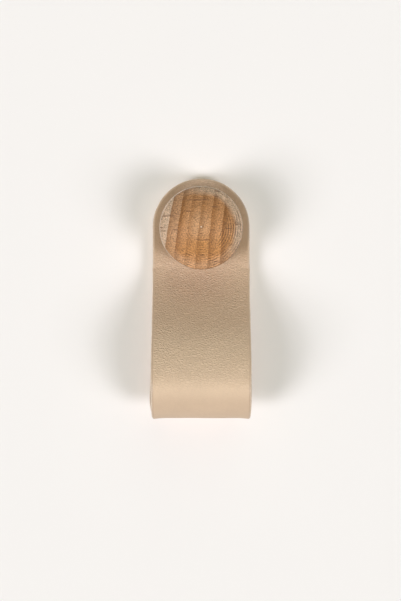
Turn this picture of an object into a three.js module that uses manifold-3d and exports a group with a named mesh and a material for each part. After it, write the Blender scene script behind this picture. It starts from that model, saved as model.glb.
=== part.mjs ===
// Leather strap pull for a cupboard door or a drawer front.
// A leather strap is folded into a loop, and a screw from behind the door runs through both of its
// leaves into a turned wooden knob, which clamps them.
// Millimetres, +Z up. The front of the door is the plane Y = 0 and the pull stands out towards -Y.
// The origin is the point where the screw's axis meets the front of the door.

import * as THREE from "three";
import { mergeVertices } from "three/addons/utils/BufferGeometryUtils.js";
import Module from "manifold-3d";

// Strap, as it is cut
const STRAP_WIDTH = 30;
const STRAP_THICKNESS = 2.65;
const BURNISHED_EDGE_RADIUS = 0.6;
const SCREW_HOLE_DIAMETER = 4.5;

// Strap, as it is folded
const LEAF_GAP = 0.3; // between the two leaves under the knob
const SCREW_TO_END = 16; // from the screw's axis up to the tips of the strap's rounded ends
const LOOP_DROP = 57.5; // from the screw's axis down to the underside of the fold
const FOLD_RADIUS = 9.7; // of the fold, to the middle of the leather
const FOLD_STAND_OFF = 13.2; // from the door to the middle of the fold
const LIFT_OFF_RISE = 27; // how far above the fold the rear leaf leaves the door
const CLAMP_BEND_RADIUS = 7.5; // of the front leaf, where it comes out from under the knob
const EDGE_CURL = 0.35; // how far the fold's two edges curl outwards
const EDGE_CURL_BAND = 4.5; // how far in from the edge that curl starts
const REAR_EASE_SHARE = 0.19; // of the rear leaf's rise, before it starts to bend

// Wooden knob
const KNOB_DIAMETER = 25;
const KNOB_BASE_DIAMETER = 23.6;
const KNOB_SHOULDER_RADIUS = 2.2;
const KNOB_BASE_EDGE_RADIUS = 0.6;
const KNOB_CROWN_RADIUS = 20; // of its domed front
const KNOB_FACE_WALL = 8.2; // wood left in front of the bore
const BORE_END_ROOM = 0.3; // from the insert's inner end to the end of the bore

// Threaded insert in the knob
const INSERT_DIAMETER = 6;
const INSERT_LENGTH = 10;
const INSERT_RECESS = 0.5; // of the insert below the knob's base
const INSERT_BARB_COUNT = 4;
const INSERT_BARB_DEPTH = 0.45;
const INSERT_FIT = 0.1; // radial clearance to the bore in the wood
const THREAD_FIT = 0.1; // radial clearance of the insert to the screw

// Screw from behind the door
const SCREW_DIAMETER = 4;
const DOOR_THICKNESS = 18;
const SCREW_TIP_SHORTFALL = 4.1; // from the screw's tip to the insert's inner end
const SCREW_TIP_CHAMFER = 0.5;
const HEAD_DIAMETER = 8;
const HEAD_HEIGHT = 3.1;
const HEAD_RIM_HEIGHT = 1.1;
const RECESS_SPAN = 4.4;
const RECESS_FLOOR_SPAN = 1.6;
const RECESS_DEPTH = 1.9;
const RECESS_SLOT_WIDTH = 1.0;

// Fineness of the facets
const ROUND_SEGMENTS = 64;
const SMALL_ROUND_SEGMENTS = 32;
const END_STATIONS = 12;
const LEAF_STEP = 8;
const BEND_STEP = 1.6;
const FACE_DIVISIONS = 8;
const EDGE_ARC_STEPS = 2;
const PROFILE_CURVE_STEPS = 4;

// Sizes that follow from the ones above
const halfWidth = STRAP_WIDTH / 2;
const halfThickness = STRAP_THICKNESS / 2;
const rearLeafDepth = halfThickness;
const frontLeafDepth = STRAP_THICKNESS + LEAF_GAP + halfThickness;
const stackDepth = 2 * STRAP_THICKNESS + LEAF_GAP;
const foldBottom = -LOOP_DROP + halfThickness;
const boreRadius = INSERT_DIAMETER / 2 + INSERT_FIT;
const boreDepth = INSERT_RECESS + INSERT_LENGTH + BORE_END_ROOM;
const knobHeight = boreDepth + KNOB_FACE_WALL;
const screwTipDepth = stackDepth + INSERT_RECESS + INSERT_LENGTH - SCREW_TIP_SHORTFALL;

const wasm = await Module();
wasm.setup();

// The geometry with only its positions, each shared vertex held once, and no collapsed triangle.
function weld(geometry) {
  const bare = geometry.clone();
  bare.deleteAttribute("normal");
  bare.deleteAttribute("uv");
  const merged = mergeVertices(bare, 1e-4);
  const kept = [];
  const index = merged.index.array;
  for (let i = 0; i < index.length; i += 3) {
    const [a, b, c] = [index[i], index[i + 1], index[i + 2]];
    if (a !== b && b !== c && c !== a) kept.push(a, b, c);
  }
  merged.setIndex(kept);
  return merged;
}

function toSolid(geometry) {
  const welded = weld(geometry);
  return new wasm.Manifold(
    new wasm.Mesh({
      numProp: 3,
      vertProperties: new Float32Array(welded.attributes.position.array),
      triVerts: new Uint32Array(welded.index.array),
    }),
  );
}

function toGeometry(solid) {
  const mesh = solid.getMesh();
  const geometry = new THREE.BufferGeometry();
  geometry.setAttribute("position", new THREE.BufferAttribute(mesh.vertProperties, 3));
  geometry.setIndex(new THREE.BufferAttribute(mesh.triVerts, 1));
  geometry.computeVertexNormals();
  return geometry;
}

// The handle length that gives the end of a cubic curve this radius, when its other handle
// ends this far to the side of the end's tangent.
function handleForRadius(reach, radius) {
  return Math.sqrt((2 / 3) * reach * radius);
}

// The line that the middle of the leather follows, from the rear leaf's end down the door, round
// the fold and up to the front leaf's end. Its first coordinate is the depth in front of the door
// and its second is the height. The bends meet the fold with the fold's own radius.
function foldSpine() {
  const liftOff = foldBottom + LIFT_OFF_RISE;
  const bellyDepth = FOLD_STAND_OFF + FOLD_RADIUS;
  const bellyHeight = foldBottom + FOLD_RADIUS;
  const clampEdge = -(KNOB_BASE_DIAMETER / 2 - KNOB_BASE_EDGE_RADIUS);
  const reach = bellyDepth - frontLeafDepth;
  const spine = new THREE.Path();
  spine.moveTo(rearLeafDepth, SCREW_TO_END);
  spine.lineTo(rearLeafDepth, liftOff);
  spine.bezierCurveTo(
    rearLeafDepth,
    liftOff - REAR_EASE_SHARE * LIFT_OFF_RISE,
    rearLeafDepth,
    foldBottom,
    FOLD_STAND_OFF,
    foldBottom,
  );
  spine.absarc(FOLD_STAND_OFF, bellyHeight, FOLD_RADIUS, -Math.PI / 2, 0, false);
  spine.bezierCurveTo(
    bellyDepth,
    bellyHeight + handleForRadius(reach, FOLD_RADIUS),
    frontLeafDepth,
    clampEdge - handleForRadius(reach, CLAMP_BEND_RADIUS),
    frontLeafDepth,
    clampEdge,
  );
  spine.lineTo(frontLeafDepth, SCREW_TO_END);
  return spine;
}

// One side of the strap's flat outline, from the rear end's tip to the front end's tip: distance
// along the strap, half width there, and the direction that the edge faces.
function flatOutline(spine) {
  const length = spine.getLength();
  const stations = [];
  const addEnd = (tip, sense) => {
    const turned = [];
    for (let i = 0; i < END_STATIONS; i += 1) {
      const angle = (i / END_STATIONS) * (Math.PI / 2);
      turned.push({
        along: tip + sense * halfWidth * (1 - Math.cos(angle)),
        half: halfWidth * Math.sin(angle),
        facing: [-sense * Math.cos(angle), Math.sin(angle)],
      });
    }
    stations.push(...(sense > 0 ? turned : turned.reverse()));
  };
  const addStraight = (from, to, step) => {
    const count = Math.max(1, Math.round((to - from) / step));
    for (let i = 0; i < count; i += 1) {
      stations.push({ along: from + ((to - from) * i) / count, half: halfWidth, facing: [0, 1] });
    }
  };
  const rearLeaf = spine.curves[0].getLength();
  const frontLeaf = spine.curves.at(-1).getLength();
  addEnd(0, 1);
  addStraight(halfWidth, rearLeaf, LEAF_STEP);
  addStraight(rearLeaf, length - frontLeaf, BEND_STEP);
  addStraight(length - frontLeaf, length - halfWidth, LEAF_STEP);
  stations.push({ along: length - halfWidth, half: halfWidth, facing: [0, 1] });
  addEnd(length, -1);
  return stations;
}

// The burnished edge in section, from the outer face to the inner face: how far each point lies
// in from the cut outline and how far out of the middle of the leather.
function edgeSection() {
  const flat = halfThickness - BURNISHED_EDGE_RADIUS;
  const section = [];
  for (let i = 0; i <= EDGE_ARC_STEPS; i += 1) {
    const angle = (Math.PI / 2) * (1 - i / EDGE_ARC_STEPS);
    section.push({
      inset: BURNISHED_EDGE_RADIUS * (1 - Math.cos(angle)),
      lift: flat + BURNISHED_EDGE_RADIUS * Math.sin(angle),
    });
  }
  const inner = section.map(({ inset, lift }) => ({ inset, lift: -lift }));
  return [...section, ...inner.reverse()];
}

// A function that takes a point of the flat strap (along, across, lift) to its place in the fold.
function folding(spine) {
  const length = spine.getLength();
  const probe = 0.25;
  const pointAt = (along) => spine.getPoint(THREE.MathUtils.clamp(along / length, 0, 1));
  const tangentAt = (along) => {
    const middle = THREE.MathUtils.clamp(along, probe, length - probe);
    return pointAt(middle + probe).sub(pointAt(middle - probe)).normalize();
  };
  return (along, across, lift) => {
    const centre = pointAt(along);
    const tangent = tangentAt(along);
    const turn = tangentAt(along - probe).cross(tangentAt(along + probe));
    const bend = (turn / (2 * probe)) * FOLD_RADIUS;
    const inBand = Math.max(0, Math.abs(across) - (halfWidth - EDGE_CURL_BAND)) / EDGE_CURL_BAND;
    const out = lift + EDGE_CURL * bend * Math.abs(bend) * inBand * inBand;
    return [across, -(centre.x + tangent.y * out), centre.y - tangent.x * out];
  };
}

// The strap's closed surface: two faces that are ruled across it, and a rounded edge all the way
// round its outline.
function strapGeometry() {
  const spine = foldSpine();
  const place = folding(spine);
  const outline = flatOutline(spine);
  const section = edgeSection();
  const positions = [];
  const index = [];

  // Quads between rows of points, which turn their fronts to the outside of the strap.
  const addSheet = (rows) => {
    const start = positions.length / 3;
    const across = rows[0].length;
    rows.flat().forEach((point) => positions.push(...place(...point)));
    for (let i = 0; i + 1 < rows.length; i += 1) {
      for (let j = 0; j + 1 < across; j += 1) {
        const a = start + i * across + j;
        const [b, c, d] = [a + 1, a + across, a + across + 1];
        index.push(a, d, b, a, c, d);
      }
    }
  };
  const insetPoint = ({ along, half, facing }, { inset, lift }, side) => [
    along - facing[0] * inset,
    side * (half - facing[1] * inset),
    lift,
  ];
  const faceRow = (station, edge, side) => {
    const [along, half, lift] = insetPoint(station, edge, side);
    const row = [];
    for (let i = 0; i <= FACE_DIVISIONS; i += 1) {
      const share = Math.sin((Math.PI / 2) * (1 - (2 * i) / FACE_DIVISIONS));
      row.push([along, half * share, lift]);
    }
    return row;
  };

  addSheet(outline.map((station) => faceRow(station, section[0], 1)));
  addSheet(outline.map((station) => faceRow(station, section[section.length - 1], -1)));
  for (const side of [1, -1]) {
    const edges = side > 0 ? [...section].reverse() : section;
    addSheet(outline.map((station) => edges.map((edge) => insetPoint(station, edge, side))));
  }
  const geometry = new THREE.BufferGeometry();
  geometry.setAttribute("position", new THREE.Float32BufferAttribute(positions, 3));
  geometry.setIndex(index);
  return geometry;
}

function makeStrap() {
  const punch = new THREE.CylinderGeometry(
    SCREW_HOLE_DIAMETER / 2,
    SCREW_HOLE_DIAMETER / 2,
    2 * (stackDepth + STRAP_THICKNESS),
    SMALL_ROUND_SEGMENTS,
  );
  const strap = new THREE.Mesh(
    toGeometry(toSolid(strapGeometry()).subtract(toSolid(punch))),
    new THREE.MeshStandardMaterial({ color: 0xd9bda2, roughness: 0.55, metalness: 0 }),
  );
  strap.name = "strap";
  return strap;
}

// The knob's turned profile, from the end of its blind bore out over the base, up the side, round
// the shoulder and over the crown. Its base lies at height 0.
function makeKnob() {
  const radius = KNOB_DIAMETER / 2;
  const baseRadius = KNOB_BASE_DIAMETER / 2;
  const shoulderAxis = radius - KNOB_SHOULDER_RADIUS;
  const crownCentre = knobHeight - KNOB_CROWN_RADIUS;
  const shoulderHeight =
    crownCentre + Math.sqrt((KNOB_CROWN_RADIUS - KNOB_SHOULDER_RADIUS) ** 2 - shoulderAxis ** 2);
  const crownAngle = Math.atan2(shoulderHeight - crownCentre, shoulderAxis);
  const profile = new THREE.Path();
  profile.moveTo(0, boreDepth);
  profile.lineTo(boreRadius, boreDepth);
  profile.lineTo(boreRadius, 0);
  profile.lineTo(baseRadius - KNOB_BASE_EDGE_RADIUS, 0);
  profile.quadraticCurveTo(baseRadius, 0, baseRadius, KNOB_BASE_EDGE_RADIUS);
  profile.lineTo(radius, shoulderHeight);
  profile.absarc(shoulderAxis, shoulderHeight, KNOB_SHOULDER_RADIUS, 0, crownAngle, false);
  profile.absarc(0, crownCentre, KNOB_CROWN_RADIUS, crownAngle, Math.PI / 2, false);
  const knob = new THREE.Mesh(
    new THREE.LatheGeometry(profile.getPoints(PROFILE_CURVE_STEPS), ROUND_SEGMENTS),
    new THREE.MeshStandardMaterial({ color: 0xb4845c, roughness: 0.6, metalness: 0 }),
  );
  knob.name = "wooden_knob";
  return knob;
}

// The insert is a barbed sleeve: each barb rises slowly and drops back sharply, so that it goes
// into the wood and doesn't come out.
function makeInsert() {
  const outer = INSERT_DIAMETER / 2;
  const bore = SCREW_DIAMETER / 2 + THREAD_FIT;
  const pitch = INSERT_LENGTH / INSERT_BARB_COUNT;
  const points = [new THREE.Vector2(bore, 0)];
  for (let i = 0; i < INSERT_BARB_COUNT; i += 1) {
    points.push(new THREE.Vector2(outer, i * pitch));
    points.push(new THREE.Vector2(outer, (i + 0.25) * pitch));
    points.push(new THREE.Vector2(outer - INSERT_BARB_DEPTH, (i + 1) * pitch));
  }
  points.push(new THREE.Vector2(bore, INSERT_LENGTH));
  points.push(new THREE.Vector2(bore, 0));
  const insert = new THREE.Mesh(
    new THREE.LatheGeometry(points, SMALL_ROUND_SEGMENTS),
    new THREE.MeshStandardMaterial({ color: 0xc9a24e, roughness: 0.35, metalness: 1 }),
  );
  insert.name = "threaded_insert";
  insert.position.y = INSERT_RECESS;
  return insert;
}

// One slot of the head's cross recess, cut down from the head's top: wide at its mouth and
// narrow at its floor.
function recessSlot() {
  const top = DOOR_THICKNESS + HEAD_HEIGHT;
  const above = HEAD_HEIGHT / 2;
  const flank = (RECESS_SPAN - RECESS_FLOOR_SPAN) / 2 / RECESS_DEPTH;
  const mouth = RECESS_SPAN / 2 + flank * above;
  const outline = new THREE.Shape();
  outline.moveTo(-RECESS_FLOOR_SPAN / 2, top - RECESS_DEPTH);
  outline.lineTo(RECESS_FLOOR_SPAN / 2, top - RECESS_DEPTH);
  outline.lineTo(mouth, top + above);
  outline.lineTo(-mouth, top + above);
  outline.closePath();
  const slot = new THREE.ExtrudeGeometry(outline, { depth: RECESS_SLOT_WIDTH, bevelEnabled: false });
  return slot.translate(0, 0, -RECESS_SLOT_WIDTH / 2);
}

function makeScrew() {
  const shank = SCREW_DIAMETER / 2;
  const head = HEAD_DIAMETER / 2;
  const rim = DOOR_THICKNESS + HEAD_RIM_HEIGHT;
  const top = DOOR_THICKNESS + HEAD_HEIGHT;
  const profile = new THREE.Path();
  profile.moveTo(0, -screwTipDepth);
  profile.lineTo(shank - SCREW_TIP_CHAMFER, -screwTipDepth);
  profile.lineTo(shank, -screwTipDepth + SCREW_TIP_CHAMFER);
  profile.lineTo(shank, DOOR_THICKNESS);
  profile.lineTo(head, DOOR_THICKNESS);
  profile.lineTo(head, rim);
  profile.bezierCurveTo(head, (rim + top) / 2, head * 0.75, top, 0, top);
  const outline = profile.getPoints(2 * PROFILE_CURVE_STEPS);
  const cut = toSolid(new THREE.LatheGeometry(outline, SMALL_ROUND_SEGMENTS))
    .subtract(toSolid(recessSlot()))
    .subtract(toSolid(recessSlot().rotateY(Math.PI / 2)));
  const screw = new THREE.Mesh(
    toGeometry(cut),
    new THREE.MeshStandardMaterial({ color: 0xb9bcc0, roughness: 0.35, metalness: 1 }),
  );
  screw.name = "mounting_screw";
  return screw;
}

// The knob and its insert are turned about their own axis with the base down, so they are laid
// over until that axis points out of the door, and set on the front leaf.
const knobGroup = new THREE.Group();
knobGroup.add(makeKnob(), makeInsert());
knobGroup.rotation.x = Math.PI;
knobGroup.position.y = -stackDepth;

const group = new THREE.Group();
group.add(makeStrap(), knobGroup, makeScrew());

export default group;
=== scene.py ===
"""A leather strap pull for a cupboard or a drawer, modelled and dressed for its picture.

A strip of vegetable-tanned leather is folded into a finger loop. A turned beech knob clamps its two
leaves to the door front, and an M4 screw from behind the door draws the knob on. Metres, +Z up. The
door's front is the plane Y = 0, the pull stands out towards -Y, and the screw's axis is the Y axis.
"""

from __future__ import annotations

import logging
import math
from contextlib import contextmanager
from dataclasses import dataclass, field
from enum import Enum
from functools import cached_property, reduce
from typing import Callable, Iterator, NamedTuple, Sequence

import bmesh
import bpy
from mathutils import Euler, Matrix, Vector, noise
from mathutils.geometry import interpolate_bezier

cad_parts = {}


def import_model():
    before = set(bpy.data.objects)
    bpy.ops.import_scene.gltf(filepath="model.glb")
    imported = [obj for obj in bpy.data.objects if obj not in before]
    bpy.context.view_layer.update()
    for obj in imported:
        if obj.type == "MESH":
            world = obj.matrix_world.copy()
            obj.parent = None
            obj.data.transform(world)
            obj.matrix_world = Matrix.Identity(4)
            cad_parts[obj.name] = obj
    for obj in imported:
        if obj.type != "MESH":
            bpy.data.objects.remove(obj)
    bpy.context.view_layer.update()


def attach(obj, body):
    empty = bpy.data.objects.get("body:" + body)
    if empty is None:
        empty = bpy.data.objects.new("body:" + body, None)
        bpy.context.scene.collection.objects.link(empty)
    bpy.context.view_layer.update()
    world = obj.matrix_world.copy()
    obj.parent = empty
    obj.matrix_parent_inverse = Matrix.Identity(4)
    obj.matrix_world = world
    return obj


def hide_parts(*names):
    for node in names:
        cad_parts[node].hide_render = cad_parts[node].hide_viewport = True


MM = 0.001
BODY = "root"
IMAGE_HEIGHT = 601  # pixels of the photograph
FLAT_MAP = "strap_flat"  # the strap's UV map: its place on the flat strip, across and along
NEAR = 0.01 * MM  # two places closer than this are the same
MERGE = 0.001 * MM  # doubled vertices closer than this become one
OUTER = 0.9  # share of a radius past which an edge belongs to the rim
ARC_HANDLE = 4 / 3 * (math.sqrt(2) - 1)  # share of the radius that makes a Bezier a quarter circle
LAID_DOWN = Matrix.Rotation(math.pi / 2, 4, "X")  # from standing along Z to lying along the screw
log = logging.getLogger("strap_pull")

Colour = tuple[float, float, float]
Triple = tuple[float, float, float]  # across, deep and up
Pair = tuple[float, float]
Socket = bpy.types.NodeSocket


class Element(Enum):
    """What an edit-mode selection picks."""

    VERT = "verts"
    EDGE = "edges"
    FACE = "faces"


class Layer(Enum):
    """The strap's three surfaces, in the order of its material slots."""

    GRAIN = 0
    FLESH = 1
    CUT_EDGE = 2


class Step(NamedTuple):
    """A smooth step: where it starts and ends, and what it leads from and to."""

    start: float
    end: float
    low: float = 0.0
    high: float = 1.0

    def moved(self, way: float) -> Step:
        """The same step, this much further on."""
        return self._replace(start=self.start + way, end=self.end + way)


class Lumps(NamedTuple):
    """Noise: the size of its lumps, how many finer layers it has, and how strong those are."""

    size: float
    detail: float = 2.0
    rough: float = 0.5


class Specks(NamedTuple):
    """Scattered specks: how far apart, how large for that, and what share of them shows."""

    pitch: float
    reach: float
    share: float | Socket


class Unevenness(NamedTuple):
    """How a tone varies: the size of its slow and of its fine lumps, and how far each takes it."""

    slow_size: float
    fine_size: float
    slow: float
    fine: float


class Spot(NamedTuple):
    """A shaded point of a piece: its place, that place's parts, and how far off the screw's axis."""

    place: Socket
    x: Socket
    y: Socket
    z: Socket
    off_axis: Socket


class Ray(NamedTuple):
    """One of the wood's long rays: its middle across the face, its half length and its height."""

    across: float
    reach: float
    height: float


class Workpiece:
    """A mesh on the bench: what its operators act on, and how it is finished."""

    def __init__(self, name: str) -> None:
        """Takes up the primitive that was just added.

        Args:
            name: the piece's name in the scene.
        """
        self.body = bpy.context.object
        self.body.name = name
        self.body.data.name = name

    @classmethod
    def cylinder(cls, name: str, radius: float, low: float, high: float, sides: int) -> Workpiece:
        """A cylinder about the Z axis, as the start of a turned piece.

        Args:
            name: the piece's name.
            radius: of its round.
            low: height of its lower end.
            high: height of its upper end.
            sides: how many facets it has.

        Returns:
            The cylinder, with its place in its mesh.
        """
        bpy.ops.mesh.primitive_cylinder_add(
            vertices=sides, radius=radius, depth=high - low, location=(0, 0, (low + high) / 2)
        )
        blank = cls(name)
        blank.settle()
        return blank

    @property
    def mesh(self) -> bpy.types.Mesh:
        """The piece's mesh."""
        return self.body.data

    def take_up(self) -> None:
        """Makes this piece the only selected one, and the active one."""
        bpy.ops.object.select_all(action="DESELECT")
        self.body.select_set(True)
        bpy.context.view_layer.objects.active = self.body

    @contextmanager
    def editing(self) -> Iterator[None]:
        """Edit mode, entered with nothing selected and left at the end.

        Returns:
            What a with statement takes.
        """
        self.take_up()
        bpy.ops.object.mode_set(mode="EDIT")
        bpy.ops.mesh.select_all(action="DESELECT")
        yield
        bpy.ops.object.mode_set(mode="OBJECT")

    def pick(self, element: Element, wanted: Callable[[Vector], bool]) -> None:
        """Selects, in edit mode, only the elements whose middle is wanted.

        Args:
            element: whether vertices, edges or faces are picked.
            wanted: tells from an element's middle whether it is picked.
        """
        bpy.ops.mesh.select_all(action="DESELECT")
        bpy.ops.mesh.select_mode(type=element.name)
        shape = bmesh.from_edit_mesh(self.mesh)
        for item in getattr(shape, element.value):
            corners = [item] if element is Element.VERT else item.verts
            middle = sum((corner.co for corner in corners), Vector()) / len(corners)
            if wanted(middle):
                item.select_set(True)
        shape.select_flush_mode()
        bmesh.update_edit_mesh(self.mesh)

    def grow(self, rise: float, widen: float = 1.0) -> None:
        """Extrudes, in edit mode, the picked faces upwards.

        Args:
            rise: how far up.
            widen: how much wider they end.
        """
        bpy.ops.mesh.extrude_region_move(TRANSFORM_OT_translate={"value": (0, 0, rise)})
        if widen != 1.0:
            bpy.ops.transform.resize(value=(widen, widen, 1.0))

    def make_sound(self) -> None:
        """Merges doubled vertices and turns every face outwards."""
        with self.editing():
            bpy.ops.mesh.select_all(action="SELECT")
            bpy.ops.mesh.remove_doubles(threshold=MERGE)
            bpy.ops.mesh.normals_make_consistent(inside=False)

    def apply(self, kind: str, **settings: object) -> None:
        """Adds a modifier with these settings and applies it.

        Args:
            kind: the modifier's type.
            settings: its properties, by name.
        """
        self.take_up()
        modifier = self.body.modifiers.new(kind.lower(), kind)
        for name, value in settings.items():
            setattr(modifier, name, value)
        bpy.ops.object.modifier_apply(modifier=modifier.name)

    def cut(self, cutter: Workpiece, operation: str = "DIFFERENCE") -> None:
        """Joins this piece with another by a boolean, and removes the other.

        Args:
            cutter: the other piece.
            operation: DIFFERENCE, UNION or INTERSECT.
        """
        self.apply("BOOLEAN", object=cutter.body, operation=operation, solver="EXACT")
        bpy.data.objects.remove(cutter.body)

    def settle(self, place: Matrix | None = None) -> None:
        """Writes the piece's place into its mesh.

        Args:
            place: where it goes, or None for where it is.
        """
        self.take_up()
        if place is not None:
            self.body.matrix_world = place
        bpy.ops.object.transform_apply(location=True, rotation=True, scale=True)

    def finish(self, degrees: float, material: bpy.types.Material) -> None:
        """Shades the piece smooth and puts its one material on.

        Args:
            degrees: an edge that turns more than this stays sharp.
            material: its finish.
        """
        self.smooth(degrees)
        self.mesh.materials.clear()
        self.mesh.materials.append(material)

    def smooth(self, degrees: float) -> None:
        """Shades the piece smooth, with edges that turn more than the angle kept sharp."""
        self.take_up()
        bpy.ops.object.shade_smooth_by_angle(angle=math.radians(degrees))

    def hand_over(self, slot: str, *nodes: str) -> None:
        """Lets the piece ride on the body and stand for its solids.

        Args:
            slot: the record's material slot; not used.
            nodes: the solids that it stands for.
        """
        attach(self.body, BODY)
        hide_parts(*nodes)
        points, faces = len(self.mesh.vertices), len(self.mesh.polygons)
        log.info("%s: %d vertices, %d faces", self.body.name, points, faces)


def per_metre(size: float | Socket) -> float | Socket:
    """How many of a size go in a metre. A socket already says that."""
    return 1 / size if isinstance(size, float) else size


class NodeBoard:
    """Adds nodes to one tree and wires them. What it is given may be a socket or a plain value."""

    WIDE, HIGH, ROWS = 180, 160, 4  # the room that each node takes in the editor, and its rows

    def __init__(self, tree: bpy.types.NodeTree) -> None:
        """Takes an empty tree.

        Args:
            tree: a material's, world's or group's nodes.
        """
        self.tree = tree
        self.column = 0

    def add(self, kind: str, **settings: object) -> bpy.types.Node:
        """Adds a node to the right of the last one.

        Args:
            kind: the node's type.
            settings: its properties, by name.

        Returns:
            The node.
        """
        node = self.tree.nodes.new(kind)
        node.location = (self.column * self.WIDE, -(self.column % self.ROWS) * self.HIGH)
        self.column += 1
        for name, value in settings.items():
            setattr(node, name, value)
        return node

    def feed(self, target: Socket, value: Socket | float | Sequence[float]) -> None:
        """Links a socket to an input, or sets the input to a plain value.

        Args:
            target: the input.
            value: the socket, number, vector or colour.
        """
        if isinstance(value, bpy.types.NodeSocket):
            self.tree.links.new(value, target)
        elif target.type == "RGBA":
            target.default_value = (*value, 1.0)
        else:
            target.default_value = value

    def put(self, kind: str, values: dict[str | int, object], **settings: object) -> bpy.types.Node:
        """Adds a node and feeds its inputs.

        Args:
            kind: the node's type.
            values: what feeds its inputs, by their names or numbers.
            settings: its properties, by name.

        Returns:
            The node.
        """
        node = self.add(kind, **settings)
        for name, value in values.items():
            self.feed(node.inputs[name], value)
        return node

    def math(self, operation: str, *values: Socket | float) -> Socket:
        """The result of one Math node with these inputs."""
        return self.put("ShaderNodeMath", dict(enumerate(values)), operation=operation).outputs[0]

    def vector(self, operation: str, *values: Socket | Sequence[float]) -> Socket:
        """The vector that one Vector Math node gives for these inputs."""
        node = self.put("ShaderNodeVectorMath", dict(enumerate(values)), operation=operation)
        return node.outputs["Vector"]

    def times(self, *values: Socket | float) -> Socket:
        """The product of these values."""
        return reduce(lambda first, other: self.math("MULTIPLY", first, other), values)

    def largest(self, *values: Socket | float) -> Socket:
        """The largest of these values."""
        return reduce(lambda first, other: self.math("MAXIMUM", first, other), values)

    def plus(self, value: Socket | float, other: Socket | float, share: float = 1.0) -> Socket:
        """The value and a share of the other."""
        return self.math("MULTIPLY_ADD", other, share, value)

    def minus(self, value: Socket | float, other: Socket | float) -> Socket:
        """The value less the other."""
        return self.math("SUBTRACT", value, other)

    def off(self, value: Socket, middle: float) -> Socket:
        """How far the value lies from a middle, either way."""
        return self.math("ABSOLUTE", self.minus(value, middle))

    def reach(self, first: Socket, second: Socket) -> Socket:
        """How long a way is that goes so far one way and so far square to it."""
        squares = self.math("ADD", self.times(first, first), self.times(second, second))
        return self.math("SQRT", squares)

    def join(self, *parts: Socket | float) -> Socket:
        """The vector of these three parts."""
        return self.put("ShaderNodeCombineXYZ", dict(enumerate(parts))).outputs[0]

    def parts(self, value: Socket) -> tuple[Socket, Socket, Socket]:
        """The X, Y and Z of a vector."""
        return tuple(self.put("ShaderNodeSeparateXYZ", {0: value}).outputs)

    def object_place(self) -> Socket:
        """The shaded point's place in the pull's own frame."""
        return self.add("ShaderNodeTexCoord").outputs["Object"]

    def flat_place(self) -> Socket:
        """The shaded point's place on the strap as it was cut, in metres."""
        return self.add("ShaderNodeUVMap", uv_map=FLAT_MAP).outputs[0]

    def shade(self, colour: Socket | Colour, factor: Socket) -> Socket:
        """The colour made lighter or darker by a factor."""
        return self.vector("MULTIPLY", colour, self.join(factor, factor, factor))

    def blend(self, colour: Socket | Colour, *coats: tuple[Socket, Socket | Colour]) -> Socket:
        """A colour with others laid over it.

        Args:
            colour: the lowest.
            coats: for each other, its share and itself, from the lowest to the highest.

        Returns:
            What shows.
        """
        for share, coat in coats:
            node = self.add("ShaderNodeMix", data_type="RGBA")
            for number, value in ((0, share), (6, colour), (7, coat)):  # its factor, A and B as colours
                self.feed(node.inputs[number], value)
            colour = node.outputs[2]
        return colour

    def ease(self, value: Socket, step: Step) -> Socket:
        """The value after this smooth step."""
        limits = zip(("From Min", "From Max", "To Min", "To Max", "Value"), (*step, value))
        return self.put("ShaderNodeMapRange", dict(limits), interpolation_type="SMOOTHSTEP").outputs[0]

    def noise(
        self, place: Socket, size: float | Socket, detail: float = 2.0, rough: float = 0.5
    ) -> Socket:
        """Noise of about 0 to 1, with lumps of this size and finer layers in them."""
        values = {"Vector": place, "Scale": per_metre(size), "Detail": detail, "Roughness": rough}
        return self.put("ShaderNodeTexNoise", values).outputs[0]

    def cells(self, place: Socket, size: float | Socket, feature: str = "F1") -> bpy.types.Node:
        """A Voronoi node with cells of this size, and what its distance is measured to."""
        values = {"Vector": place, "Scale": per_metre(size)}
        return self.put("ShaderNodeTexVoronoi", values, feature=feature)

    def bump(self, height: Socket, depth: float) -> Socket:
        """The normal of a surface whose height goes from 0 to 1, where 1 stands this far above 0."""
        values = {"Strength": 1.0, "Distance": depth, "Height": height}
        return self.put("ShaderNodeBump", values).outputs[0]

    def either(self, share: Socket, first: Socket, second: Socket) -> Socket:
        """One of two shaders, by the share of the second."""
        return self.put("ShaderNodeMixShader", {0: share, 1: first, 2: second}).outputs[0]


class MaterialBoard(NodeBoard):
    """The nodes of a new material, which start as a Principled surface and an output."""

    def __init__(self, name: str) -> None:
        """Makes the material.

        Args:
            name: its name.
        """
        self.material = bpy.data.materials.new(name)
        self.material.use_nodes = True
        self.material.node_tree.nodes.clear()
        super().__init__(self.material.node_tree)
        self.surface = self.add("ShaderNodeBsdfPrincipled")
        self.output = self.put("ShaderNodeOutputMaterial", {"Surface": self.surface.outputs[0]})

    @cached_property
    def spot(self) -> Spot:
        """The shaded point in the pull's own frame.

        Returns:
            Its place and that place's parts.
        """
        place = self.object_place()
        x, y, z = self.parts(place)
        return Spot(place, x, y, z, self.reach(x, z))

    def dress(self, looks: dict[str, Socket | float | Colour]) -> bpy.types.Material:
        """Feeds the surface.

        Args:
            looks: what feeds its inputs, by their names.

        Returns:
            The material.
        """
        for name, value in looks.items():
            self.feed(self.surface.inputs[name], value)
        return self.material


class GroupBoard(NodeBoard):
    """The nodes of a new shader node group."""

    def __init__(self, name: str, inputs: dict[str, str], outputs: dict[str, str]) -> None:
        """Makes the group.

        Args:
            name: its name.
            inputs: the kind of each input, by name.
            outputs: the kind of each output, by name.
        """
        super().__init__(bpy.data.node_groups.new(name, "ShaderNodeTree"))
        for way, sockets in (("INPUT", inputs), ("OUTPUT", outputs)):
            for socket, kind in sockets.items():
                self.tree.interface.new_socket(socket, in_out=way, socket_type=f"NodeSocket{kind}")
        self.given = self.add("NodeGroupInput").outputs
        self.result = self.add("NodeGroupOutput").inputs


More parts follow.
